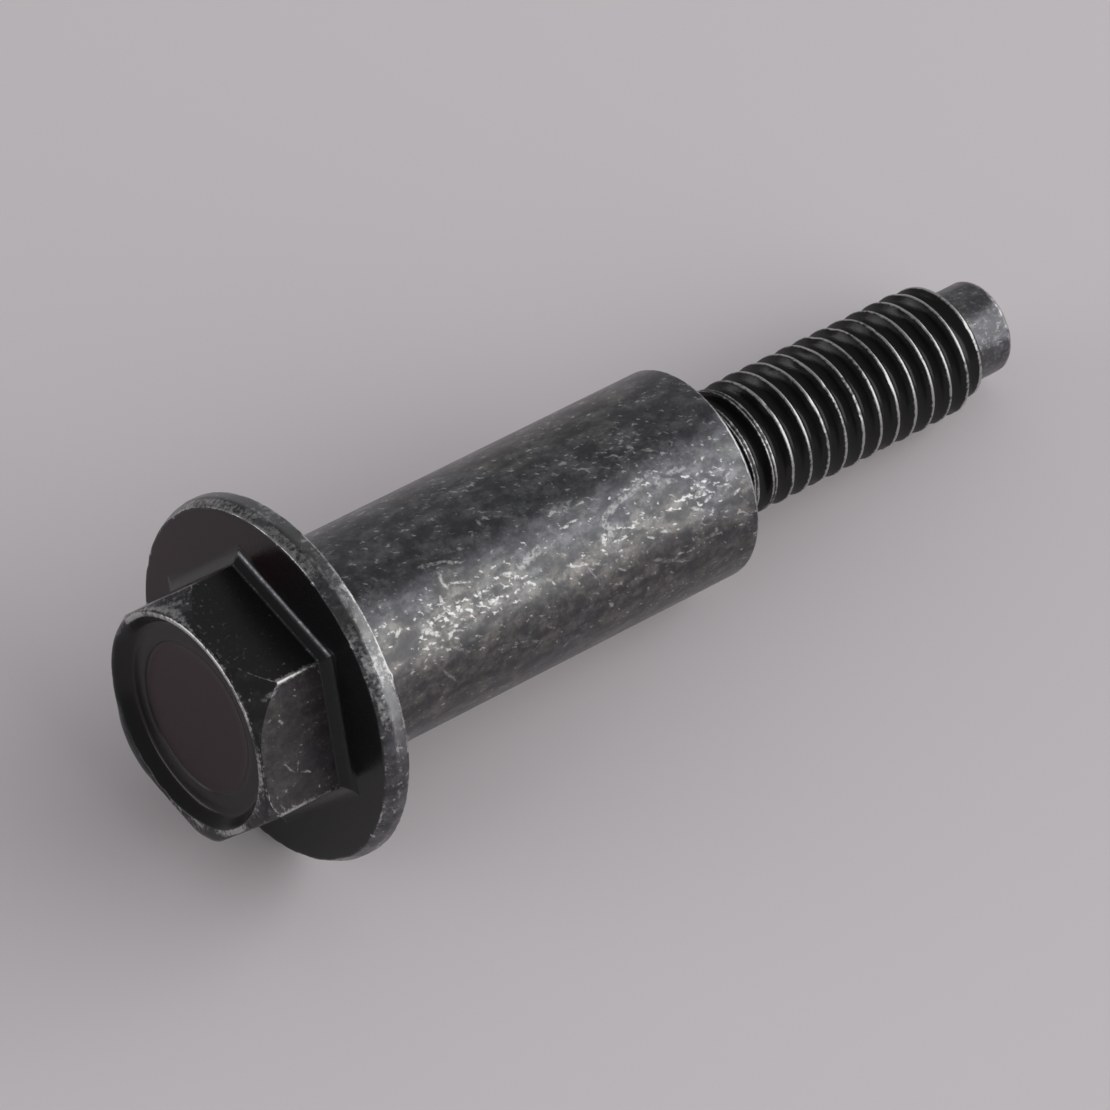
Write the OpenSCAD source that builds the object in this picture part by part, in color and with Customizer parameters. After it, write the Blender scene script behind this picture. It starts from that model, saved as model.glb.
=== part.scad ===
// Hex flange shoulder bolt, lying as it comes to rest on a level floor.
// Millimetres, +Z up, +X from the head to the tip. The floor is at z = 0, under the middle of the part.

/* [Head] */
// Hexagon across its flats
across_flats = 10; // [9.9:0.1:10.6]
// From the flange's bearing face to the head's end
head_h = 5.2; // [4.8:0.1:6]
// Diameter at the head's end, inside the flats
end_d = 9.9; // [9.6:0.05:9.9]
// How far down the corners the end chamfer reaches
chamfer_h = 1.45; // [1:0.05:1.8]
// Size of the concave fillet between hexagon and flange
base_fillet = 0.45; // [0.25:0.01:0.6]
// Turn of the hexagon about the axis, in degrees from straight down
hex_turn = 38; // [0:1:59]

/* [Dish in the head's end] */
// Diameter at the mouth of the dish
dish_d = 9.45; // [9.1:0.05:9.5]
// Diameter at the foot of the dish's wall
dish_foot_d = 8.6; // [8.2:0.1:8.9]
// Depth of the dish at the foot of its wall
dish_h = 0.6; // [0.4:0.05:0.9]
// Diameter of the flat floor in the middle
floor_d = 6.86; // [5:0.02:7.4]
// How much deeper the flat floor lies
floor_step = 0.06; // [0.03:0.01:0.15]

/* [Flange] */
// Outside diameter
flange_d = 16.2; // [15:0.1:18]
// Thickness at the rim
flange_t = 1.13; // [1:0.01:1.4]
// How much the front of the rim is smaller in radius
rim_taper = 0.245; // [0.1:0.005:0.4]
// Height of the rim's straight back band, without its rounded edge
rim_band = 0.44; // [0.3:0.01:0.5]
// Rounded edge at the bearing face
rim_edge = 0.16; // [0.08:0.01:0.25]
// Rise of the front face towards the hexagon
flange_rise = 0.08; // [0.03:0.005:0.25]

/* [Shoulder] */
// Diameter of the plain shoulder
shoulder_d = 9.5; // [9:0.1:9.9]
// Length from the bearing face
shoulder_len = 21.7; // [14:0.1:30]
// Rounded edge at the shoulder's end
shoulder_edge = 0.2; // [0.1:0.01:0.4]
// Fillet between bearing face and shoulder
under_fillet = 0.25; // [0.1:0.01:0.4]

/* [Thread] */
// Outside diameter over the crests
thread_d = 5.85; // [5.8:0.01:6]
// Lead of one turn, right-hand
pitch = 1; // [0.9:0.05:1.05]
// Full thread, from the shoulder's end
thread_len = 14.05; // [10:0.05:20]
// Length over which the thread fades towards the tip
lead_in = 1.2; // [1.15:0.05:1.8]

/* [Dog point] */
// Diameter of the plain point
dog_d = 4.25; // [3.9:0.05:4.3]
// Length of the plain point
dog_len = 1.7; // [1.2:0.05:3]
// Rounding of the point's end
dog_round = 0.35; // [0.15:0.05:0.6]

/* [Hidden] */
$fn = 96;

// Facets of the thread in one turn, points of its profile in one pitch, and its depth as a share of the pitch
STEPS = 30;
ROWS = 4;
DEPTH = 0.5413;
// How many pitches the helix starts inside the shoulder; it sets the thread's turn about the axis
START = 1.828;
// Step between the thread's end ring and the point, so that no two faces coincide
STEP = 0.04;

hex_r = across_flats / sqrt(3);
rim_r = flange_d / 2 - rim_taper;
// The front face runs from the rim to a circle hidden under the hexagon
hidden_r = across_flats / 2 - base_fillet;
function face_z(r) = -flange_t - flange_rise * (rim_r - r) / (rim_r - across_flats / 2 - base_fillet);

crest_r = thread_d / 2;
root_r = crest_r - DEPTH * pitch;
lead_z = shoulder_len + thread_len;
thread_end = lead_z + lead_in;
lead_r = dog_d / 2 + STEP;
tip_z = thread_end + dog_len;
helix_z = shoulder_len - START * pitch;
turns = floor((thread_end - STEP - pitch - helix_z) / pitch);
last = ROWS * turns;

// Points of an arc about c, from angle a over a sweep
function arc(c, r, a, sweep, n = 6) =
    [for (i = [0:n]) [c[0] + r * cos(a + sweep * i / n), c[1] + r * sin(a + sweep * i / n)]];

// The thread's profile: where each row lies in the pitch, and its radius, cut down by the lead-in
row_at = [0, 0.25, 0.5625, 0.6875];
function row_z(j) = helix_z + pitch * (floor(j / ROWS) + row_at[j % ROWS]);
function row_r(j) = (j % ROWS < 2) ? root_r : crest_r;
function cut_r(z) = crest_r - (z - lead_z) * (crest_r - lead_r) / lead_in;
function on_thread(j, i) =
    let (z = row_z(j) + pitch * i / STEPS, r = min(row_r(j), cut_r(z)), a = 360 * i / STEPS)
    [r * cos(a), r * sin(a), z];
function ring(r, z) = [for (i = [0:STEPS - 1]) [r * cos(360 * i / STEPS), r * sin(360 * i / STEPS), z]];

// Index of a point of the helix; one full turn on, it is the point one pitch further
function at(j, i) =
    i < STEPS ? STEPS * (j + 1) + i :
    j + ROWS <= last ? STEPS * (j + ROWS + 1) :
    STEPS * (last + 2) + j + ROWS - last - 1;
top_at = STEPS * (last + 2) + ROWS;

// Two triangles of the surface between four points, seen from outside
function quad(low, high, high_next, low_next) = [[low, high, high_next], [low, high_next, low_next]];

// Where the tip side touches the floor: shoulder end, last full crest or the point's end
crest_z = min(helix_z + pitch * (turns - 1 + row_at[3]), lead_z);
function lean_at(r, z) = atan((flange_d / 2 - r) / (z + rim_edge));
lean = min(lean_at(shoulder_d / 2, shoulder_len - shoulder_edge),
           lean_at(crest_r, crest_z),
           lean_at(dog_d / 2, tip_z - dog_round));
// Reach in X and height of the flange's centre in the lying pose
x_min = -(head_h * cos(lean) + end_d / 2 * sin(lean));
x_max = (tip_z - dog_round) * cos(lean) + (dog_d / 2 - dog_round) * sin(lean) + dog_round;
drop = flange_d / 2 * cos(lean) - rim_edge * sin(lean);

// Flange, shoulder and the small fillet between them, turned about the axis
module flange_and_shoulder() {
    R = flange_d / 2;
    S = shoulder_d / 2;
    rotate_extrude() polygon(concat(
        [[0, face_z(hidden_r)], [hidden_r, face_z(hidden_r)], [rim_r, -flange_t], [R, -rim_edge - rim_band]],
        arc([R - rim_edge, -rim_edge], rim_edge, 0, 90),
        arc([S + under_fillet, under_fillet], under_fillet, 270, -90),
        arc([S - shoulder_edge, shoulder_len - shoulder_edge], shoulder_edge, 0, 90),
        [[0, shoulder_len]]));
}

// Hexagon with chamfered end, a fillet at its foot and the dished end
module hex_head() {
    foot_r = across_flats / 2 + base_fillet;
    foot_z = face_z(foot_r);
    // A radius outside the corners
    clear_r = hex_r + base_fillet;
    difference() {
        union() {
            intersection() {
                rotate([0, 0, hex_turn])
                    translate([0, 0, -head_h])
                        cylinder(r = hex_r, h = head_h - flange_t / 2, $fn = 6);
                // The slant reaches the corners chamfer_h below the end
                rotate_extrude() polygon([
                    [0, -head_h], [end_d / 2, -head_h],
                    [clear_r, -head_h + chamfer_h * (clear_r - end_d / 2) / (hex_r - end_d / 2)],
                    [clear_r, 0], [0, 0]]);
            }
            // The foot: a wider hexagon, hollowed along each side
            difference() {
                rotate([0, 0, hex_turn])
                    translate([0, 0, foot_z - base_fillet])
                        cylinder(r = foot_r * 2 / sqrt(3), h = flange_t / 2 + base_fillet, $fn = 6);
                for (i = [0:5])
                    rotate([0, 0, hex_turn + 30 + 60 * i])
                        translate([foot_r, 0, foot_z - base_fillet])
                            rotate([90, 0, 0])
                                cylinder(r = base_fillet * 1.03, h = 2 * hex_r, center = true);
            }
        }
        rotate_extrude() polygon([
            [0, -head_h - dish_h], [dish_d / 2, -head_h - dish_h],
            [dish_d / 2, -head_h], [dish_foot_d / 2, -head_h + dish_h],
            [floor_d / 2, -head_h + dish_h], [floor_d / 2 - floor_step, -head_h + dish_h + floor_step],
            [0, -head_h + dish_h + floor_step]]);
    }
}

// Right-hand thread on its core, fading at the tip; its other end lies inside the shoulder
module thread() {
    points = concat(
        ring(root_r - DEPTH * pitch / 2, helix_z - pitch / 2),
        [for (j = [0:last]) for (i = [0:STEPS - 1]) on_thread(j, i)],
        [for (j = [last - ROWS + 1:last]) on_thread(j, STEPS)],
        ring(lead_r, thread_end));
    faces = concat(
        [[for (i = [0:STEPS - 1]) i]],
        [for (i = [0:STEPS - 1]) each quad(i, at(0, i), at(0, i + 1), (i + 1) % STEPS)],
        [[0, at(4, 0), at(3, 0), at(2, 0), at(1, 0), at(0, 0)]],
        [for (j = [0:last - 1]) for (i = [0:STEPS - 1]) each
            quad(at(j, i), at(j + 1, i), at(j + 1, i + 1), at(j, i + 1))],
        [for (i = [0:STEPS - 1]) each
            quad(at(last, i), top_at + i, top_at + (i + 1) % STEPS, at(last, i + 1))],
        [concat([at(last, 0)], [for (j = [last - ROWS + 1:last]) at(j, STEPS)], [top_at])],
        [[for (i = [STEPS - 1:-1:0]) top_at + i]]);
    polyhedron(points = points, faces = faces);
}

// Plain point, with its root inside the thread's core
module dog_point() {
    P = dog_d / 2;
    rotate_extrude() polygon(concat(
        [[0, lead_z], [P, lead_z]],
        arc([P - dog_round, tip_z - dog_round], dog_round, 0, 90),
        [[0, tip_z]]));
}

module bolt() {
    color([0.13, 0.13, 0.14])
        translate([-(x_min + x_max) / 2, 0, drop])
            rotate([0, 90 + lean, 0])
                union() {
                    flange_and_shoulder();
                    hex_head();
                    thread();
                    dog_point();
                }
}

bolt();
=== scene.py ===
import math

import bmesh
import bpy
import numpy as np
from mathutils import Matrix, Vector


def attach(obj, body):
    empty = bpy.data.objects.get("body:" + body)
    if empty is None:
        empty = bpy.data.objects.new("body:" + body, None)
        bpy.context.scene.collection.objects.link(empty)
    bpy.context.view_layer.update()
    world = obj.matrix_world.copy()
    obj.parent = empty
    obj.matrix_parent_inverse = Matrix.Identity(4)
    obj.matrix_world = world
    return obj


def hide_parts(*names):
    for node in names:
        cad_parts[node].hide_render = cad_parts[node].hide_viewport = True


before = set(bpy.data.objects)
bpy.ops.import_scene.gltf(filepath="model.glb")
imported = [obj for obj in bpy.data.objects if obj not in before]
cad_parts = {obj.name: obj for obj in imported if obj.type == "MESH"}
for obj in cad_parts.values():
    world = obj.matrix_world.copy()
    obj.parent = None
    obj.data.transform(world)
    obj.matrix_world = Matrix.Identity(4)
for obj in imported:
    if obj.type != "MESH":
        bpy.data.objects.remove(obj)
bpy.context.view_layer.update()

scene = bpy.context.scene
rng = np.random.default_rng(7)

# Sizes in millimetres, as in the part's source; z runs along the axis from the bearing face to the tip
FLAT_R = 5.0
HEX_TURN = 38.0
END_Z = -5.2
END_R = 4.95
CHAMFER = 1.45
FILLET = 0.45
FLANGE_R = 8.1
FLANGE_T = 1.13
RIM_R = 7.855
RIM_EDGE = 0.16
FLANGE_RISE = 0.08
SHOULDER_R = 4.75
SHOULDER_END = 21.7
SHOULDER_EDGE = 0.2
UNDER_FILLET = 0.25
CREST_R = 2.925
PITCH = 1.0
DEPTH = 0.5413
HELIX_Z = 19.872
LEAD_Z = 35.75
LEAD_IN = 1.2
LEAD_R = 2.165
DOG_R = 2.125
DOG_ROUND = 0.35
TIP_Z = 38.65
# Roundings and small steps that only the surface has
CORNER_R = 0.14
DISH_DEPTH = 0.66
LIP_R = 4.84
FOOT_OUT = 0.55
FOOT_UP = 0.503
BELOW_CUT = 0.05
RIM_INSET = 0.006
POINT_START = 36.0
TIP_INSET = 0.002
# Points closer than this along a join are merged, in metres
SLIVER = 0.000004
# Values painted on the surface: how polished, how bare at an edge, how flecked and how brown it is; in a few
# places they hold painted shade, painted highlights or a painted reflection
PAINTED = ("burnish_and_painted_light", "wear_and_painted_light", "fleck", "brown_and_painted_reflection")

# The lying pose: the flange's rim and the last full crest, so many turns along the helix, touch the floor
CREST_TURNS = 15.6875
LAST_CREST = HELIX_Z + CREST_TURNS * PITCH
LEAN = math.atan((FLANGE_R - CREST_R) / (LAST_CREST + RIM_EDGE))
SIN, COS = math.sin(LEAN), math.cos(LEAN)
X_MIN = END_Z * COS - END_R * SIN
X_MAX = (TIP_Z - DOG_ROUND) * COS + (DOG_R - DOG_ROUND) * SIN + DOG_ROUND
DOWN_AXIS = np.array((-SIN, 0.0, -COS))
SIDE_AXIS = np.array((0.0, 1.0, 0.0))
LONG_AXIS = np.array((COS, 0.0, -SIN))
ORIGIN = np.array((-(X_MIN + X_MAX) / 2, 0.0, FLANGE_R * COS - RIM_EDGE * SIN))


def in_frame(r, angle, z):
    """Points of the part's frame, in metres, from cylinder coordinates about the bolt's axis."""
    x = r * np.cos(angle)
    y = r * np.sin(angle)
    return (x[..., None] * DOWN_AXIS + y[..., None] * SIDE_AXIS + z[..., None] * LONG_AXIS + ORIGIN) * 0.001


def on_axis(z):
    """A point on the bolt's axis."""
    return in_frame(np.zeros(1), np.zeros(1), np.full(1, z))


class Surface:
    """Vertices, faces and painted values of one mesh, gathered grid by grid."""

    def __init__(self):
        self.points = []
        self.paint = []
        self.faces = []
        self.count = 0

    def add(self, points, paint):
        """Adds points with their values, and returns the first one's index."""
        first = self.count
        self.points.append(points.reshape(-1, 3))
        self.paint.append(paint.reshape(-1, 4))
        self.count += len(self.points[-1])
        return first


surface = Surface()

# Columns round the head and the shoulder, closer together at the hexagon's corners
half = np.concatenate(([0, 0.35, 0.7, 1.1, 1.6, 2.2], np.linspace(3, 30, 22)))
sector = np.concatenate((half, 60 - half[-2:0:-1]))
COLUMNS = 6 * len(sector)
from_flat = np.radians(np.tile(sector - 30, 6))
angles = np.radians(HEX_TURN + np.repeat(np.arange(6) * 60, len(sector)) + np.tile(sector, 6))
from_corner = math.radians(30) - np.abs(from_flat)


def ripple(low, high, seed):
    """A smooth random wave round the axis, about -1 to 1."""
    draw = np.random.default_rng(seed)
    total = np.zeros(COLUMNS)
    for k in range(low, high + 1):
        total += np.cos(k * angles + draw.uniform(0, 2 * math.pi)) * draw.uniform(0.4, 1)
    return total / math.sqrt(high - low + 1)


def dents(count, width, depth, seed):
    """Small random dents round an edge: how deep the edge is pressed in, at each column."""
    draw = np.random.default_rng(seed)
    total = np.zeros(COLUMNS)
    for _ in range(count):
        place = draw.uniform(0, 2 * math.pi)
        spread = math.radians(draw.uniform(*width))
        off = (angles - place + math.pi) % (2 * math.pi) - math.pi
        total = np.maximum(total, draw.uniform(*depth) * np.exp(-(off / spread) ** 2))
    return total


def hexagon(inner, rounding):
    """Radius at each column of a hexagon with rounded corners."""
    cos30 = math.cos(math.radians(30))
    centre = (inner - rounding) / cos30
    reach = np.arctan2(rounding * 0.5, centre + rounding * cos30)
    arc = centre * np.cos(from_corner)
    arc = arc + np.sqrt(np.maximum(rounding ** 2 - (centre * np.sin(from_corner)) ** 2, 0))
    return np.where(from_corner < reach, arc, inner / np.cos(from_flat))


def face_z(r):
    """Height of the flange's front face at a radius."""
    return -FLANGE_T - FLANGE_RISE * (RIM_R - r) / (RIM_R - FLAT_R - FILLET)


rows = []


def row(r, z, burnish_and_painted_light=0.0, wear_and_painted_light=0.0, fleck=0.0, brown_and_painted_reflection=0.0):
    """One ring of points: radius, height and painted values, each a number or one value a column."""
    values = (r, z, burnish_and_painted_light, wear_and_painted_light, fleck, brown_and_painted_reflection)
    rows.append([np.broadcast_to(np.asarray(v, float), COLUMNS) for v in values])


def angle_gap(degrees):
    """Angle between each column and a place round the axis, in degrees."""
    return np.abs((np.degrees(angles) - degrees + 180) % 360 - 180)


def by_angle(*pairs):
    """A value at each column, drawn through values at places round the axis, in degrees."""
    places, values = zip(*pairs)
    return np.interp(np.degrees(angles), places, values, period=360)


# Dish in the head's end: floor, ring, step, wall and the worn lip
DISH = (
    (1.0, DISH_DEPTH), (2.0, DISH_DEPTH), (2.8, DISH_DEPTH), (3.14, DISH_DEPTH), (3.2, 0.652),
    (3.24, 0.647), (3.28, 0.653), (3.33, 0.66), (3.375, 0.655), (3.4, 0.625), (3.425, 0.603), (3.46, 0.598),
    (3.7, 0.6), (4.0, 0.61), (4.14, 0.612), (4.2, 0.604), (4.26, 0.586), (4.31, 0.553), (4.355, 0.508),
    (4.4, 0.452))
for r, depth in DISH:
    row(r, END_Z + depth, 0.0, 0.0, 0.0, 1.0 if r < 3.3 else 0.3)
flats = hexagon(FLAT_R, CORNER_R)
slope = CHAMFER / (2 * FLAT_R / math.sqrt(3) - END_R)
# The end's outline: round at three corners, and fuller at the three that were formed further out
start_r, start_z = END_R + 0.03, END_Z + 0.08
rounding = np.full(COLUMNS, start_r)
for corner, size in ((38, 2.6), (338, 2.2), (278, 1.8)):
    rounding = np.where(angle_gap(corner) < 30, size, rounding)
land_r = hexagon(start_r, rounding)
fullness = np.clip((land_r - start_r) / 0.5, 0, 1)
lip = dents(26, (1.0, 3.5), (0.01, 0.04), 11)
lip_wear = by_angle(
    (20, 0.3), (60, 0.2), (100, 0.1), (112, 0.4), (125, 0.95), (140, 0.65), (150, 0.55), (160, 0.75),
    (172, 0.85), (185, 0.8), (200, 0.9), (212, 0.75), (230, 0.65), (240, 0.4), (250, 0.45), (262, 0.65),
    (272, 0.6), (280, 0.45), (300, 0.45), (312, 0.65), (335, 0.4))
lip_wear = np.clip(lip_wear + 0.2 * ripple(2, 20, 12), 0, 1)
LIP = (
    (4.55, 0.247, 0.0), (4.65, 0.105, 0.0), (4.7, 0.048, 0.35), (4.74, 0.018, 0.9), (4.79, 0.004, 1.0),
    (LIP_R, 0.0, 1.0), (4.885, 0.008, 1.0), (4.922, 0.026, 0.9), (4.955, 0.054, 0.5))
for r, depth, worn in LIP:
    if r > LIP_R:
        r = LIP_R + (r - LIP_R) * (land_r - LIP_R) / (start_r - LIP_R)
        worn = worn * (1 - 0.5 * fullness)
    row(r, END_Z + depth + lip * worn * 0.8, 0.6 * worn * lip_wear, lip_wear * worn)

# End chamfer, a cone that cuts the hexagon
cut_z = start_z + slope * (flats - land_r)
cone_len = np.hypot(flats - land_r, cut_z - start_z)
edge_wear = np.clip(0.25 + 0.5 * ripple(3, 20, 13), 0, 1)
rubbed_end = by_angle(
    (60, 0.3), (100, 0.3), (115, 0.7), (160, 0.75), (172, 0.6), (182, 0.42), (190, 0.42), (200, 0.5),
    (210, 0.1), (230, 0.1), (242, 0.3), (255, 0.5), (266, 0.4), (280, 0.3), (292, 0.4), (350, 0.3))
chamfer_burnish = 0.1 + 0.6 * np.exp(-(angle_gap(140) / 25) ** 2)
chamfer_burnish = chamfer_burnish + 0.4 * np.exp(-(angle_gap(270) / 16) ** 2)
near_edge = np.maximum(1 - 0.05 / np.maximum(cone_len, 0.1), 0.5)
CONE = (
    (0.12, 1.0, 0.0), (0.35, 0.6, 0.0), (0.6, 0.4, 0.05), (0.8, 0.4, 0.1), (near_edge, 0.4, 0.45),
    (1.0, 0.2, 0.9))
for share, top, worn in CONE:
    r = land_r + (flats - land_r) * share
    z = start_z + (cut_z - start_z) * share
    worn = np.maximum(edge_wear * worn, rubbed_end * top)
    row(r, z, chamfer_burnish, worn, chamfer_burnish)

# Flats, with worn corners; how bare each flat and each corner is follows the photograph
flat_burnish = np.full(COLUMNS, 0.25)
for centre, amount in ((188, 0.03), (248, 0.5), (128, 1.4)):
    flat_burnish = np.where(angle_gap(centre) < 30, amount, flat_burnish)
flat_fleck = np.where(angle_gap(248) < 30, 0.06, np.where(angle_gap(128) < 30, 0.4, 0.0))
flat_brown = np.where(angle_gap(248) < 30, 0.5, 0.0)
corner_wear = np.where(angle_gap(188) < 30, 0.22, 0.0)
for corner, amount in ((218, 1.0), (278, 0.95), (158, 0.35), (98, 0.5), (38, 0.5), (338, 0.5)):
    corner_wear = np.maximum(corner_wear, amount * np.exp(-(angle_gap(corner) / 1.6) ** 2))
FOOT_Z = face_z(FLAT_R + FOOT_OUT)
top_wear = np.maximum(edge_wear * 0.4, corner_wear)
row(flats, cut_z + BELOW_CUT, flat_burnish, top_wear, flat_fleck, flat_brown)
for share in (0.08, 0.2, 0.34, 0.48, 0.62, 0.76, 0.9, 1.0):
    z = cut_z + BELOW_CUT + (FOOT_Z - FOOT_UP - cut_z - BELOW_CUT) * share
    worn = corner_wear * (1 - 0.6 * share)
    row(flats, z, flat_burnish * (1 - 0.5 * share), worn, flat_fleck, flat_brown)

# Concave foot of the hexagon, bent sharply at the flat and more gently at the flange
# The FOOT table's polish and bareness paint two thin bright lines, at the flat and near the flange: painted
# highlights, full on the top flat's foot and a tenth as strong on the other feet
foot_painted_highlight = np.where(angle_gap(188) < 30, 1.0, 0.1)
FOOT = (
    (0.003, 0.05, 0.4, 0.25), (0.015, 0.1, 0.5, 0.35), (0.045, 0.15, 0.0, 0.0), (0.09, 0.2, 0.0, 0.0),
    (0.14, 0.25, 0.0, 0.0), (0.19, 0.3, 0.0, 0.0), (0.24, 0.346, 0.0, 0.0), (0.3, 0.395, 0.4, 0.2),
    (0.36, 0.435, 1.0, 0.35), (0.42, 0.468, 0.5, 0.2), (0.48, 0.49, 0.0, 0.0), (FOOT_OUT, FOOT_UP, 0.0, 0.0))
for out, up, shine, worn in FOOT:
    r = hexagon(FLAT_R + out, 0.12 - 0.08 * out)
    row(r, FOOT_Z - FOOT_UP + up, shine * foot_painted_highlight, worn * foot_painted_highlight)

# Front face of the flange; its brown, strongest towards 120 degrees round the axis, is a painted reflection
# of the pale floor
foot = hexagon(FLAT_R + FOOT_OUT, 0.076)
brown_and_painted_reflection = np.clip(1.4 * np.cos(angles - math.radians(120)) - 0.3, 0, 1)
for share in (0.03, 0.12, 0.3, 0.5, 0.7, 0.86, 0.96):
    r = foot + (RIM_R - 0.05 - foot) * share
    row(r, face_z(r), 0.0, 0.0, 0.0, brown_and_painted_reflection)

# Rim: front chamfer, straight band and rounded edge, all dented and worn
front = dents(60, (0.6, 3.0), (0.005, 0.05), 21)
middle = dents(90, (0.4, 2.4), (0.005, 0.045), 22)
back = dents(110, (0.35, 1.8), (0.01, 0.05), 23)
burr = 0.14 * np.exp(-(angle_gap(230.5) / 1.1) ** 2)
front_wear = by_angle(
    (60, 0.5), (120, 0.6), (150, 0.6), (160, 0.85), (172, 0.8), (181, 1.2), (190, 1.0), (198, 0.5),
    (208, 0.15), (220, 0.6), (230, 0.55), (240, 0.3), (262, 0.25), (272, 0.5), (280, 0.4), (300, 0.3))
slant_wear = by_angle(
    (60, 0.3), (120, 0.4), (150, 0.55), (165, 0.5), (181, 0.8), (190, 0.55), (200, 0.15), (210, 0.15),
    (220, 0.5), (232, 0.6), (240, 0.55), (250, 0.2), (290, 0.2))
back_wear = by_angle(
    (60, 0.4), (150, 0.5), (172, 0.55), (180, 0.65), (200, 0.6), (230, 0.85), (242, 0.75), (252, 0.5),
    (270, 0.3), (300, 0.2))
band_bare = by_angle(
    (60, 0.8), (150, 0.8), (180, 1.1), (200, 1.3), (225, 1.05), (240, 1.3), (255, 1.15), (270, 0.8))
# How polished and bare the rim is round the axis; the fall towards 300 degrees, on the side facing down, is
# painted shade where the rim faces the shadowed floor under the flange
rim_polish_and_painted_shade = by_angle(
    (60, 0.7), (110, 1.0), (248, 1.0), (262, 0.85), (285, 0.7), (300, 0.5), (330, 0.45))
front_wear = np.clip(front_wear + 0.3 * ripple(2, 26, 24), 0, 0.85)
slant_wear = np.clip(slant_wear + 0.2 * ripple(6, 40, 26), 0, 0.55)
band_wear = np.clip(0.62 + 0.35 * ripple(2, 18, 25), 0, 1) * rim_polish_and_painted_shade * band_bare
edge_bare = np.clip(back_wear + 0.25 * ripple(10, 60, 27), 0, 1.2) + burr * 6
SLANT = (
    (7.8, -1.128, 0.2, 0.2, 0.2, 0.0), (7.84, -1.122, 0.7, 0.4, 0.8, 0.0), (7.866, -1.1, 1.0, 0.7, 1.0, 0.0),
    (7.888, -1.06, 0.8, 0.8, 0.7, 0.5), (7.92, -0.99, 0.4, 0.9, 0.1, 1.0), (7.97, -0.88, 0.3, 0.9, 0.0, 1.0),
    (8.03, -0.75, 0.3, 0.9, 0.0, 1.0))
for r, z, press, shine, front_worn, slant_worn in SLANT:
    worn = np.maximum(front_wear * front_worn, slant_wear * slant_worn)
    row(r - front * press - RIM_INSET, z + front * press * 0.6, shine * rim_polish_and_painted_shade, worn, 0.4)
BAND = (
    (8.07, -0.665, 0.6, 0.5), (8.092, -0.61, 1.0, 0.75), (FLANGE_R, -0.56, 0.7, 0.65),
    (FLANGE_R, -0.44, 0.3, 0.5), (FLANGE_R, -0.3, 0.3, 0.5), (FLANGE_R, -0.17, 0.5, 0.6))
for r, z, press, worn in BAND:
    row(r - middle * press - RIM_INSET, z, 1.2 * rim_polish_and_painted_shade, band_wear * worn, 0.45)
for turn in np.radians(np.linspace(12, 90, 6)):
    r = FLANGE_R - RIM_EDGE + RIM_EDGE * math.cos(turn) - RIM_INSET
    edge_r = r - back * 0.7 * math.cos(turn) + burr * math.sin(2 * turn)
    row(edge_r, -RIM_EDGE + RIM_EDGE * math.sin(turn), 1.1 * rim_polish_and_painted_shade, edge_bare, 0.4)

# Bearing face and the fillet under the head
for r in (7.85, 7.4, 6.8, 6.0, 5.3):
    row(r, 0.0, 0.3)
for turn in np.radians(np.linspace(0, 90, 7)):
    r = SHOULDER_R + UNDER_FILLET * (1 - math.sin(turn))
    row(r, UNDER_FILLET * (1 - math.cos(turn)), 0.5, 0.0, 0.2)

# Shoulder, a little uneven as rolled, with its rounded end. Where it is rubbed most: along the axis in
# millimetres, round it in degrees, then reach along and round, and strength
RUBBED = [
    (5.0, 229, 1.6, 12, 1.2), (7.6, 228, 1.5, 9, 1.0), (9.8, 221, 1.1, 7, 0.6), (14.2, 228, 0.9, 4, 0.4),
    (16, 229, 1.8, 9, 0.7), (18.8, 229, 1.2, 10, 1.3), (19, 252, 1.4, 7, 0.5), (21, 252, 1.0, 12, 0.45),
    (12.7, 203, 1.2, 4, 0.8), (16.2, 190, 1.8, 7, 0.8), (13.6, 182, 1.3, 6, 0.35),
    (17.4, 181, 1.2, 6, 0.6), (5.6, 172, 1.2, 7, 0.2), (9.4, 167, 1.5, 5, 0.45), (6.0, 248, 1.2, 5, 0.4),
    (12.6, 237, 1.3, 7, 0.45), (16.4, 262, 1.0, 6, 0.35), (14.2, 256, 2.0, 5, 0.45),
    (20.6, 226, 0.9, 8, 0.4), (3.0, 220, 0.6, 5, 0.5), (10.4, 246, 1.0, 5, 0.3),
    (17.6, 254, 0.9, 5, 0.4), (11.5, 172, 1.2, 6, 0.3), (4.8, 208, 0.6, 4, 0.45),
    (9.2, 232, 0.9, 5, 0.6), (15.2, 222, 0.9, 4, -0.45), (13.8, 226, 0.35, 5, 0.7),
    (17.5, 212, 1.5, 5, 0.4), (3.6, 243, 0.8, 6, 0.3), (8.3, 190, 1.5, 6, 0.25)]
warm = by_angle(
    (100, 0.5), (140, 0.4), (160, 0.05), (205, 0.05), (222, 0.4), (240, 0.75), (265, 0.8), (290, 0.5))
# The side that the photograph doesn't show is rubbed at random places
unseen = np.random.default_rng(35)
for _ in range(26):
    RUBBED.append((
        unseen.uniform(1.5, 20.5), unseen.uniform(285, 510), unseen.uniform(0.8, 1.8), unseen.uniform(4, 12),
        unseen.uniform(0.3, 0.9)))
for z in np.linspace(UNDER_FILLET + 0.1, SHOULDER_END - SHOULDER_EDGE - 0.04, 50):
    wave = ripple(2, 9, 31) * math.sin(z * 0.7) + ripple(2, 9, 32) * math.cos(z * 0.45)
    swell = 0.004 * (1 + wave) / 2
    rubbed = by_angle((100, 0.3), (148, 0.5), (200, 0.5), (212, 0.35), (240, 0.3), (250, 0.38))
    for at, turn, reach, spread, strength in RUBBED:
        rubbed += strength * np.exp(-((z - at) / reach) ** 2 - (angle_gap(turn) / spread) ** 2)
    row(SHOULDER_R - np.abs(swell), z, 1.0, 0.0, rubbed, warm)
end_dents = dents(50, (0.8, 3.0), (0.005, 0.03), 33)
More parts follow.
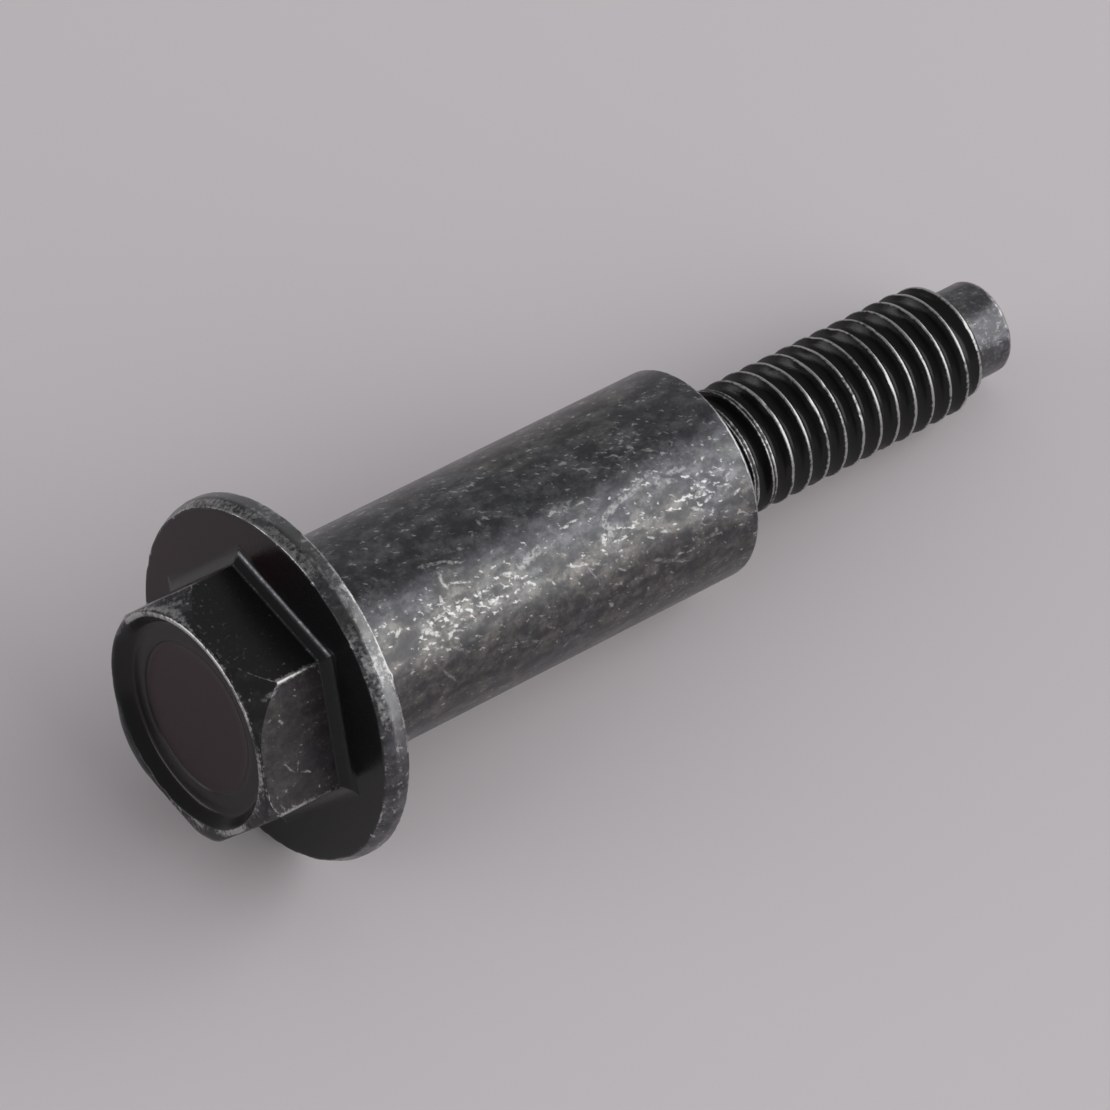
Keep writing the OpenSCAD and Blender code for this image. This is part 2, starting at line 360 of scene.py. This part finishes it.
end_wear = by_angle(
    (60, 0.5), (160, 0.6), (200, 0.8), (210, 1.1), (242, 1.1), (252, 0.7), (270, 0.45), (300, 0.4))
end_wear = np.clip(end_wear + 0.2 * ripple(2, 24, 34), 0, 1.1)
for turn in np.radians(np.linspace(0, 90, 7)):
    r = SHOULDER_R - SHOULDER_EDGE * (1 - math.cos(turn)) - end_dents * math.cos(turn) * 0.6
    worn = math.sin(2 * turn) ** 0.5 if 0 < turn < 1.5 else 0.3
    row(r, SHOULDER_END - SHOULDER_EDGE * (1 - math.sin(turn)), 0.9, end_wear * worn, 0.5)
for r in (4.3, 3.8, 3.2, 2.6):
    row(r, SHOULDER_END, 0.2)

# The rows joined into one closed skin, with a middle point at each end
grid = np.array(rows)
first = surface.add(in_frame(grid[:, 0], angles, grid[:, 1]), np.moveaxis(grid[:, 2:], 1, 2))
low = surface.add(on_axis(END_Z + DISH_DEPTH), np.array([[0.0, 0.0, 0.0, 1.0]]))
high = surface.add(on_axis(SHOULDER_END), np.array([[0.2, 0.0, 0.0, 0.0]]))
last = first + (len(rows) - 1) * COLUMNS
for i in range(COLUMNS):
    n = (i + 1) % COLUMNS
    surface.faces.append((low, first + n, first + i))
    surface.faces.append((high, last + i, last + n))
    for j in range(len(rows) - 1):
        a = first + j * COLUMNS
        surface.faces.append((a + i, a + n, a + COLUMNS + n, a + COLUMNS + i))
head_skin = surface

# Thread: a right-hand helix, its profile in one pitch as place, height over the root and wear
ROOT_R = CREST_R - DEPTH * PITCH
# Place of the crest in the pitch, the turn from which the thread is full, and the turn where it ends
CREST_AT = 0.625
FULL_FROM = 4.7
ENDS_AT = 16.4
PROFILE = (
    (0.0, 0.035, 0.0), (0.07, 0.008, 0.0), (0.125, 0.0, 0.0), (0.18, 0.008, 0.0), (0.25, 0.035, 0.0),
    (0.40625, 0.2707, 0.0), (0.53, 0.486, 0.2), (0.572, 0.532, 0.85), (CREST_AT, DEPTH, 1.0),
    (0.678, 0.532, 0.85), (0.72, 0.486, 0.2), (0.84375, 0.2707, 0.0))
PER_PITCH = len(PROFILE)
STEPS = 132
TURNS = 17.3
THREAD_ROWS = int(TURNS * PER_PITCH)
thread_angle = np.arange(STEPS + 1) * 2 * math.pi / STEPS
nicks = rng.uniform(0, 17, 70)
nick_size = rng.uniform(0.004, 0.02, 70)
nick_depth = rng.uniform(0.01, 0.06, 70)
surface = Surface()
points, paint = [], []
for j in range(THREAD_ROWS + 1):
    at, height, worn = PROFILE[j % PER_PITCH]
    turn = thread_angle / (2 * math.pi) + j // PER_PITCH
    drop = np.zeros(STEPS + 1)
    for place, size, depth in zip(nicks, nick_size, nick_depth):
        drop = np.maximum(drop, depth * np.exp(-((turn - place) / size) ** 2))
    # The first turns aren't rolled full: a wider crest with an open seam along it
    unfilled = np.clip(FULL_FROM - turn, 0, 1) * (worn > 0)
    z = HELIX_Z + PITCH * (turn + at + (at - CREST_AT) * 0.7 * unfilled)
    # Towards the tip the crest gets lower, and past its end the surface falls to the point
    left = 1 - (HELIX_Z + turn + CREST_AT - LEAD_Z) * (CREST_R - LEAD_R) / LEAD_IN / DEPTH
    left = np.clip(left, 0, 1)
    past = np.clip(1 - left / 0.15, 0, 1)
    r = ROOT_R + height * left - drop * (worn > 0.5) - unfilled * (0.1 if at == CREST_AT else 0.03)
    fallen = ROOT_R - 1.2 * (at + 0.075) - 0.6 * np.maximum(turn - ENDS_AT, 0)
    r = r * (1 - past) + fallen * past
    points.append(in_frame(r, thread_angle, z))
    shine = worn * (0.85 + 0.25 * np.sin(turn * 9.7) * np.sin(turn * 23.1 + 1)) * (1 - past)
    if at == CREST_AT:
        shine = shine * (1 - 0.9 * unfilled)
    paint.append(np.stack((1.04 * past, shine + 0.3 * past, 0.2 * past, 0 * past), 1))
first = surface.add(np.array(points)[:, :STEPS], np.array(paint)[:, :STEPS])
tail = surface.add(np.array(points)[-PER_PITCH:, STEPS], np.array(paint)[-PER_PITCH:, STEPS])
low = surface.add(on_axis(HELIX_Z), np.zeros((1, 4)))
high = surface.add(on_axis(TIP_Z - 0.5), np.zeros((1, 4)))


def on_helix(j, i):
    """Index of a point of the helix; a full turn on, it is the point one pitch further."""
    if i < STEPS:
        return first + j * STEPS + i
    if j + PER_PITCH <= THREAD_ROWS:
        return first + (j + PER_PITCH) * STEPS
    return tail + j + PER_PITCH - THREAD_ROWS - 1


for i in range(STEPS):
    for j in range(THREAD_ROWS):
        surface.faces.append((
            on_helix(j, i), on_helix(j, i + 1), on_helix(j + 1, i + 1), on_helix(j + 1, i)))
    surface.faces.append((low, on_helix(0, i + 1), on_helix(0, i)))
    surface.faces.append((high, on_helix(THREAD_ROWS, i), on_helix(THREAD_ROWS, i + 1)))
for j in range(PER_PITCH):
    surface.faces.append((low, on_helix(j, 0), on_helix(j + 1, 0)))
    k = THREAD_ROWS - j
    surface.faces.append((high, on_helix(k, STEPS), on_helix(k - 1, STEPS)))
thread_skin = surface

# Plain point, a little battered, with a rounded end
POINT_STEPS = 120
point_angle = np.arange(POINT_STEPS) * 2 * math.pi / POINT_STEPS
profile = [(DOG_R, z, 0.0) for z in (POINT_START, 36.6, 37.0, 37.3, 37.6, 37.9, 38.15)]
for turn in np.radians(np.linspace(0, 90, 8)):
    r = DOG_R - DOG_ROUND + DOG_ROUND * math.cos(turn)
    z = TIP_Z - DOG_ROUND + (DOG_ROUND - TIP_INSET) * math.sin(turn)
    profile.append((r, z, math.sin(2 * turn)))
profile += [(r, TIP_Z - TIP_INSET, 0.1) for r in (1.4, 0.9, 0.4)]
phase = rng.uniform(0, 2 * math.pi, (12, 2))
surface = Surface()
points, paint = [], []
for r, z, worn in profile:
    rough = 0
    for k in range(2, 12):
        rough = rough + np.cos(k * point_angle + phase[k, 0] + z * 1.7) * math.cos(z * 2.1 + phase[k, 1])
    battered = np.maximum(r - 0.006 * np.abs(rough) * (r > 1.5), 0.1)
    points.append(in_frame(battered, point_angle, np.full(POINT_STEPS, z)))
    values = (1.04, 0.3 + 0.45 * worn, 0.2 * (r > 1.9), 0.0)
    paint.append(np.stack([np.full(POINT_STEPS, v) for v in values], 1))
first = surface.add(np.array(points), np.array(paint))
low = surface.add(on_axis(POINT_START), np.array([[1.0, 0.0, 0.0, 0.0]]))
high = surface.add(on_axis(TIP_Z - TIP_INSET), np.array([[1.0, 0.0, 0.0, 0.0]]))
last = first + (len(profile) - 1) * POINT_STEPS
for i in range(POINT_STEPS):
    n = (i + 1) % POINT_STEPS
    surface.faces.append((low, first + n, first + i))
    surface.faces.append((high, last + i, last + n))
    for j in range(len(profile) - 1):
        a = first + j * POINT_STEPS
        surface.faces.append((a + i, a + n, a + POINT_STEPS + n, a + POINT_STEPS + i))
point_skin = surface


def skin_object(skin, number):
    """An object from one skin, with its painted values and the skin's number on each face."""
    made = bpy.data.meshes.new("bolt_surface")
    made.from_pydata(np.concatenate(skin.points).tolist(), [], skin.faces)
    values = np.concatenate(skin.paint).astype(np.float32)
    for k, name in enumerate(PAINTED):
        layer = made.attributes.new(name, "FLOAT", "POINT")
        layer.data.foreach_set("value", np.ascontiguousarray(values[:, k]))
    layer = made.attributes.new("skin", "INT", "FACE")
    layer.data.foreach_set("value", np.full(len(skin.faces), number, np.int32))
    item = bpy.data.objects.new("bolt_surface", made)
    scene.collection.objects.link(item)
    return item


# Thread and point are joined to the head and shoulder, so that one closed surface is left
bolt = skin_object(head_skin, 0)
for number, skin in ((1, thread_skin), (2, point_skin)):
    other = skin_object(skin, number)
    join = bolt.modifiers.new("join", "BOOLEAN")
    join.operation = "UNION"
    join.solver = "MANIFOLD"
    join.object = other
    evaluated = bolt.evaluated_get(bpy.context.evaluated_depsgraph_get())
    joined = bpy.data.meshes.new_from_object(evaluated)
    bolt.modifiers.remove(join)
    bpy.data.objects.remove(other)
    bolt.data = joined
mesh = bolt.data
mesh.name = "bolt_surface"

# Slivers along the joins go: points that lie very close there are merged
cleaned = bmesh.new()
cleaned.from_mesh(mesh)
number = cleaned.faces.layers.int["skin"]
on_join = set()
for edge in cleaned.edges:
    if len({face[number] for face in edge.link_faces}) > 1:
        on_join.update(edge.verts)
bmesh.ops.remove_doubles(cleaned, verts=list(on_join), dist=SLIVER)
cleaned.to_mesh(mesh)
cleaned.free()
mesh.polygons.foreach_set("use_smooth", np.ones(len(mesh.polygons), bool))

# Where two skins meet, the edge stays sharp
skin_of = np.zeros(len(mesh.polygons), np.int32)
mesh.attributes["skin"].data.foreach_get("value", skin_of)
corners = np.zeros(len(mesh.polygons), np.int32)
mesh.polygons.foreach_get("loop_total", corners)
edge_of = np.zeros(len(mesh.loops), np.int32)
mesh.loops.foreach_get("edge_index", edge_of)
lowest = np.full(len(mesh.edges), skin_of.max())
highest = np.zeros(len(mesh.edges), int)
np.minimum.at(lowest, edge_of, np.repeat(skin_of, corners))
np.maximum.at(highest, edge_of, np.repeat(skin_of, corners))
mesh.attributes.new("sharp_edge", "BOOLEAN", "EDGE").data.foreach_set("value", lowest != highest)

# Material: black finish, rubbed bright where it was handled; its painted values also bring in painted shade
# on the rim, painted highlights at a foot and a painted reflection on the flange's face
steel = bpy.data.materials.new("black_steel")
steel.use_nodes = True
tree = steel.node_tree
shader = tree.nodes["Principled BSDF"]


def plug(target, value):
    """Sets an input to a value, or links it to another node's output."""
    if isinstance(value, bpy.types.NodeSocket):
        tree.links.new(value, target)
    else:
        target.default_value = value


def node(kind, inputs=None, **settings):
    """A new node with its settings and inputs."""
    made = tree.nodes.new(kind)
    for key, value in settings.items():
        setattr(made, key, value)
    for key, value in (inputs or {}).items():
        plug(made.inputs[key], value)
    return made


def calc(operation, a, b=0.0, clamp=False):
    """A sum or other operation on two values."""
    return node("ShaderNodeMath", {0: a, 1: b}, operation=operation, use_clamp=clamp).outputs[0]


def vector(operation, a, b=(0, 0, 0), out="Vector"):
    """An operation on two vectors."""
    return node("ShaderNodeVectorMath", {0: a, 1: b}, operation=operation).outputs[out]


def ramp(value, low, high, to_low=0.0, to_high=1.0):
    """A smooth step of a value from one range to another."""
    inputs = {"Value": value, "From Min": low, "From Max": high, "To Min": to_low, "To Max": to_high}
    return node("ShaderNodeMapRange", inputs, interpolation_type="SMOOTHSTEP").outputs["Result"]


def mix(factor, a, b):
    """A blend of two colours."""
    made = node("ShaderNodeMix", data_type="RGBA")
    for name, value in (("Factor_Float", factor), ("A_Color", a), ("B_Color", b)):
        plug(next(s for s in made.inputs if s.identifier == name), value)
    return next(s for s in made.outputs if s.identifier == "Result_Color")


def noise(where, scale, detail=2.0, roughness=0.5, out="Fac"):
    """A noise at these coordinates."""
    inputs = {"Vector": where, "Scale": scale, "Detail": detail, "Roughness": roughness}
    return node("ShaderNodeTexNoise", inputs).outputs[out]


def attribute(name):
    """A value painted on the surface."""
    return node("ShaderNodeAttribute", attribute_name=name).outputs["Fac"]


burnish_and_painted_light, wear_and_painted_light, fleck, brown_and_painted_reflection = (attribute(name) for name in PAINTED)

# Coordinates in millimetres: along the axis, to the side and up; then along the axis and round it
turned = np.array((ORIGIN @ LONG_AXIS, ORIGIN[1], -ORIGIN @ DOWN_AXIS))
inputs = {"Vector": node("ShaderNodeTexCoord").outputs["Object"], "Rotation": (0, -LEAN, 0),
          "Scale": (1000, 1000, 1000), "Location": tuple(-turned)}
place = node("ShaderNodeMapping", inputs).outputs["Vector"]
parts = node("ShaderNodeSeparateXYZ", {0: place}).outputs
round_angle = calc("ARCTAN2", calc("MULTIPLY", parts["Y"], -1.0), parts["Z"])
inputs = {"X": parts["X"], "Y": calc("MULTIPLY", round_angle, SHOULDER_R), "Z": 1.0}
wrapped = node("ShaderNodeCombineXYZ", inputs).outputs[0]
sideways = calc("MULTIPLY", parts["Y"], parts["Y"])
upwards = calc("MULTIPLY", parts["Z"], parts["Z"])
radius = calc("POWER", calc("ADD", sideways, upwards), 0.5)

broad = noise(place, 0.28, 3.0)
patch = noise(vector("ADD", place, (40, 7, 3)), 0.5, 3.0, 0.6)
fine = noise(place, 5.0, 4.0, 0.65)
mottle = noise(vector("ADD", place, (9, 21, 5)), 2.2, 2.0, 0.6)
grain = noise(place, 22.0, 3.0, 0.6)
shift = vector("SUBTRACT", noise(place, 3.5, 2.0, 0.6, "Color"), (0.5, 0.5, 0.5))
ragged = vector("ADD", wrapped, vector("MULTIPLY", shift, (0.2, 0.2, 0.0)))
ragged_place = vector("ADD", place, vector("MULTIPLY", shift, (0.25, 0.25, 0.25)))


def brushed(tilt, length, width):
    """The unrolled coordinates, turned and stretched so that round spots become short strokes."""
    inputs = {"Vector": ragged, "Rotation": (0, 0, math.radians(tilt)), "Scale": (length, width, 1)}
    return node("ShaderNodeMapping", inputs, vector_type="TEXTURE").outputs["Vector"]


# Ragged flecks in short strokes, cut off higher or lower by the painted value
cut = calc("MULTIPLY_ADD", fleck, -0.1)
cut.node.inputs[2].default_value = 0.655
soft = noise(vector("MULTIPLY", ragged_place, (0.8, 1.5, 1.5)), 1.0, 3.0, 0.6)
strokes = noise(brushed(24, 0.36, 0.2), 1.0, 2.5, 0.55)
grit = calc("ADD", strokes, calc("MULTIPLY", calc("SUBTRACT", soft, 0.5), 0.35))
flecks = ramp(calc("SUBTRACT", grit, cut), 0.0, 0.14)
flecks = calc("MULTIPLY", flecks, calc("GREATER_THAN", fleck, 0.01))
haze = calc("MULTIPLY", ramp(soft, 0.45, 0.7), calc("MULTIPLY", fleck, 0.2))

# Single scratches and scuffs: from and to, each along the axis in millimetres and round it in degrees,
# then half the width
BRIGHT = (
    (5.2, 198.7, 6.3, 201.3, 0.09), (6.2, 201, 7.12, 206, 0.06), (6.15, 212.8, 6.97, 216.6, 0.06),
    (5.87, 205.5, 5.82, 211, 0.1), (5.8, 210.5, 5.9, 214.5, 0.08), (5.42, 217, 5.35, 222, 0.1),
    (5.35, 222, 5.62, 228, 0.08), (4.05, 228.3, 4.3, 229.3, 0.16), (4.2, 229, 4.72, 234.2, 0.1),
    (4.68, 226, 5.3, 224, 0.07), (5.1, 237.5, 5.45, 234.2, 0.07), (5.4, 234.3, 5.85, 237, 0.06),
    (2.78, 224, 3.05, 222, 0.09), (7.08, 226, 7.22, 222, 0.1), (7.25, 229.5, 7.95, 233, 0.08),
    (8.55, 220.8, 9.1, 223, 0.12), (8.88, 190.5, 8.95, 194, 0.08), (10.48, 232.8, 10.75, 236.6, 0.06),
    (11.6, 231.3, 12.15, 234.4, 0.08), (12, 234, 12.6, 235.2, 0.06), (13.62, 231, 13.7, 226.3, 0.12),
    (14.1, 231.5, 14.82, 231.8, 0.05), (15.78, 237, 16.15, 239, 0.06), (16.5, 237.4, 16.97, 239.2, 0.07),
    (18.25, 233.5, 18.85, 237.2, 0.08), (18.65, 230, 18.95, 227, 0.1),
    (18.92, 222.5, 19.12, 229.5, 0.09), (19.05, 233.8, 19.4, 232.6, 0.07),
    (19.9, 229.7, 20.42, 231, 0.07), (20.58, 237.2, 20.85, 236.4, 0.07),
    (20.88, 250.4, 21.3, 252.6, 0.06), (11.98, 213.6, 12.4, 213.4, 0.06),
    (12.4, 212.4, 12.95, 212.8, 0.05), (17.58, 196.8, 18, 199.6, 0.07), (14, 244.8, 14.38, 248.2, 0.05),
    (13.38, 262, 13.6, 265, 0.07), (-3.3, 263.8, -2.9, 265.6, 0.05), (-4, 234.2, -3.8, 235.6, 0.06))
SOFT = (
    (9.3, 221.3, 9.95, 219.6, 0.22), (9.85, 219.8, 10.65, 217, 0.2), (13.85, 229, 14.45, 224.5, 0.2),
    (14.45, 225, 14, 221.5, 0.2), (13.95, 222, 14.15, 217.5, 0.15), (14.1, 218, 15, 214.3, 0.16),
    (14.9, 214.3, 16, 213, 0.14), (15.9, 213, 17.1, 207.8, 0.13), (17.15, 215.5, 17.4, 209.8, 0.16),
    (17.3, 213.8, 18, 217.2, 0.14), (17.75, 212.3, 18.75, 213.6, 0.12), (12.5, 205.5, 13.1, 202.5, 0.14),
    (11.75, 200.8, 12.5, 203.3, 0.12), (12.6, 235.2, 13.45, 240.2, 0.06),
    (12.55, 238, 12.92, 246.5, 0.05), (16.35, 253.8, 17.45, 258.2, 0.1),
    (15.95, 250.4, 16.45, 252.2, 0.1), (18.65, 252.3, 19.3, 252.6, 0.1), (19.3, 252.6, 19.3, 249.8, 0.1),
    (6.85, 198.8, 7.75, 200.8, 0.05), (10.05, 256.8, 10.4, 260.3, 0.06), (4.5, 252, 5.2, 262, 0.07),
    (9.7, 264.2, 9.35, 267.5, 0.06), (8.15, 257.5, 9.05, 260.2, 0.06), (9, 260, 9.72, 264.2, 0.07),
    (9.35, 190, 10.28, 196, 0.06), (5.15, 242, 5.9, 248.7, 0.08), (-4.25, 254.5, -3.65, 262, 0.04),
    (-4.4, 222, -3.9, 221, 0.1), (-3.5, 262.5, -3.4, 257.8, 0.04), (-4.6, 274, -4.3, 278, 0.06))


def scratches(marks):
    """How far each point lies inside the nearest of these marks, which are long narrow ellipses."""
    nearest = None
    for z1, a1, z2, a2, width in marks:
        along, across = z2 - z1, SHOULDER_R * math.radians(a2 - a1)
        middle = Vector(((z1 + z2) / 2, SHOULDER_R * math.radians((a1 + a2) / 2 - 180)))
        way = Vector((along, across)).normalized()
        lengthwise = way / (math.hypot(along, across) / 2 + width)
        crosswise = Vector((-way.y, way.x)) / width
        u = vector("DOT_PRODUCT", ragged, (*lengthwise, -lengthwise.dot(middle)), "Value")
        v = vector("DOT_PRODUCT", ragged, (*crosswise, -crosswise.dot(middle)), "Value")
        away = calc("MULTIPLY_ADD", u, u)
        tree.links.new(calc("MULTIPLY", v, v), away.node.inputs[2])
        nearest = away if nearest is None else calc("MINIMUM", nearest, away)
    return ramp(nearest, 0.1, 1.5, 1.0, 0.0)


outside = calc("GREATER_THAN", radius, 4.7)
broken = calc("MULTIPLY", outside, ramp(fine, 0.38, 0.6, 0.15, 0.85))
marks = calc("MULTIPLY", scratches(BRIGHT), broken)
faint = calc("MULTIPLY", outside, ramp(fine, 0.38, 0.62, 0.05, 0.5))
scuffs = calc("MULTIPLY", scratches(SOFT), faint)

bare = calc("MULTIPLY_ADD", calc("SUBTRACT", fine, 0.5), 1.4)
tree.links.new(wear_and_painted_light, bare.node.inputs[2])
bare = ramp(bare, 0.3, 0.85)
for layer in (haze, flecks, marks, scuffs, calc("SUBTRACT", burnish_and_painted_light, 1.0)):
    bare = calc("MAXIMUM", bare, layer)

# Brown oxide tint on the dish floor, the shoulder and one flat; on the flange's front face the brown is a
# painted reflection of the floor
oxide_and_painted_reflection = mix(brown_and_painted_reflection, (0.0085, 0.0085, 0.009, 1), (0.0155, 0.0045, 0.0067, 1))
tint = calc("MULTIPLY_ADD", calc("SUBTRACT", brown_and_painted_reflection, 0.35), 0.3)
tree.links.new(broad, tint.node.inputs[2])
worked = mix(ramp(tint, 0.4, 0.6), (0.152, 0.151, 0.166, 1), (0.178, 0.168, 0.157, 1))
worked = mix(ramp(patch, 0.55, 0.7), worked, (0.152, 0.159, 0.154, 1))
worked = mix(ramp(mottle, 0.36, 0.62, 0.62, 0.0), worked, (0.072, 0.073, 0.078, 1))
worked = mix(ramp(soft, 0.35, 0.6, 0.7, 0.0), worked, (0.072, 0.073, 0.078, 1))
worked = mix(ramp(fine, 0.35, 0.6, 0.4, 0.0), worked, (0.06, 0.062, 0.067, 1))
colour = mix(bare, mix(burnish_and_painted_light, oxide_and_painted_reflection, worked), (0.465, 0.462, 0.455, 1))
tree.links.new(colour, shader.inputs["Base Color"])
tree.links.new(calc("MAXIMUM", burnish_and_painted_light, bare, True), shader.inputs["Metallic"])
rubbed_rough = calc("MULTIPLY", calc("MAXIMUM", burnish_and_painted_light, bare), 0.1)
rough = calc("ADD", ramp(fine, 0.3, 0.7, 0.18, 0.26), rubbed_rough)
tree.links.new(rough, shader.inputs["Roughness"])
inputs = {"Strength": 0.2, "Distance": 0.00002, "Height": calc("ADD", grain, fine)}
bump = node("ShaderNodeBump", inputs)
tree.links.new(bump.outputs["Normal"], shader.inputs["Normal"])
shader.inputs["Specular IOR Level"].default_value = 0.33
mesh.materials.clear()
mesh.materials.append(steel)

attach(bolt, "root")
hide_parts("bolt")

# Camera, placed from the photograph's perspective
RIGHT = Vector((0.771163, -0.636637, 0.0))
DOWN = Vector((-0.482512, -0.58447, -0.652363))
FORWARD = Vector((0.415319, 0.503078, -0.757907))
PLACE = Vector((-0.1436965, -0.1716065, 0.2633887))
camera_data = bpy.data.cameras.new("camera")
camera_data.lens = 264.0
camera_data.sensor_width = 36.0
camera_data.clip_start = 0.01
camera = bpy.data.objects.new("camera", camera_data)
turn = Matrix((RIGHT, -DOWN, -FORWARD)).transposed()
camera.matrix_world = Matrix.Translation(PLACE) @ turn.to_4x4()
scene.collection.objects.link(camera)
scene.camera = camera

# Floor, pale and matt
bpy.ops.mesh.primitive_plane_add(size=3, location=(0, 0, 0))
floor = bpy.context.object
floor.name = "floor"
ground = bpy.data.materials.new("pale_floor")
ground.use_nodes = True
matt = ground.node_tree.nodes["Principled BSDF"].inputs
matt["Base Color"].default_value = (0.85, 0.8, 0.821, 1)
matt["Roughness"].default_value = 0.9
matt["Specular IOR Level"].default_value = 0.1
floor.data.materials.append(ground)


def softbox(name, azimuth, elevation, distance, width, height, radiance):
    """A soft rectangular light that faces the bolt, with its brightness as radiance."""
    data = bpy.data.lights.new(name, "AREA")
    data.shape = "RECTANGLE"
    data.size = width
    data.size_y = height
    data.energy = radiance * width * height * math.pi
    lamp = bpy.data.objects.new(name, data)
    a, e = math.radians(azimuth), math.radians(elevation)
    way = Vector((math.cos(a) * math.cos(e), math.sin(a) * math.cos(e), math.sin(e)))
    lamp.location = way * distance
    lamp.rotation_euler = (-lamp.location).to_track_quat("-Z", "Y").to_euler()
    scene.collection.objects.link(lamp)


softbox("right_softbox", -55, 26, 0.6, 0.95, 0.58, 1.66)
softbox("tip_softbox", -5, 16, 0.6, 0.3, 0.36, 1.6)
softbox("left_softbox", 155, 12, 0.6, 0.6, 0.2, 2.4)
softbox("back_softbox", 45, 24, 0.6, 0.9, 0.6, 0.17)
world = bpy.data.worlds.new("studio")
world.use_nodes = True
world.node_tree.nodes["Background"].inputs["Color"].default_value = (0.24, 0.24, 0.246, 1)
scene.world = world
scene.view_settings.view_transform = "Standard"
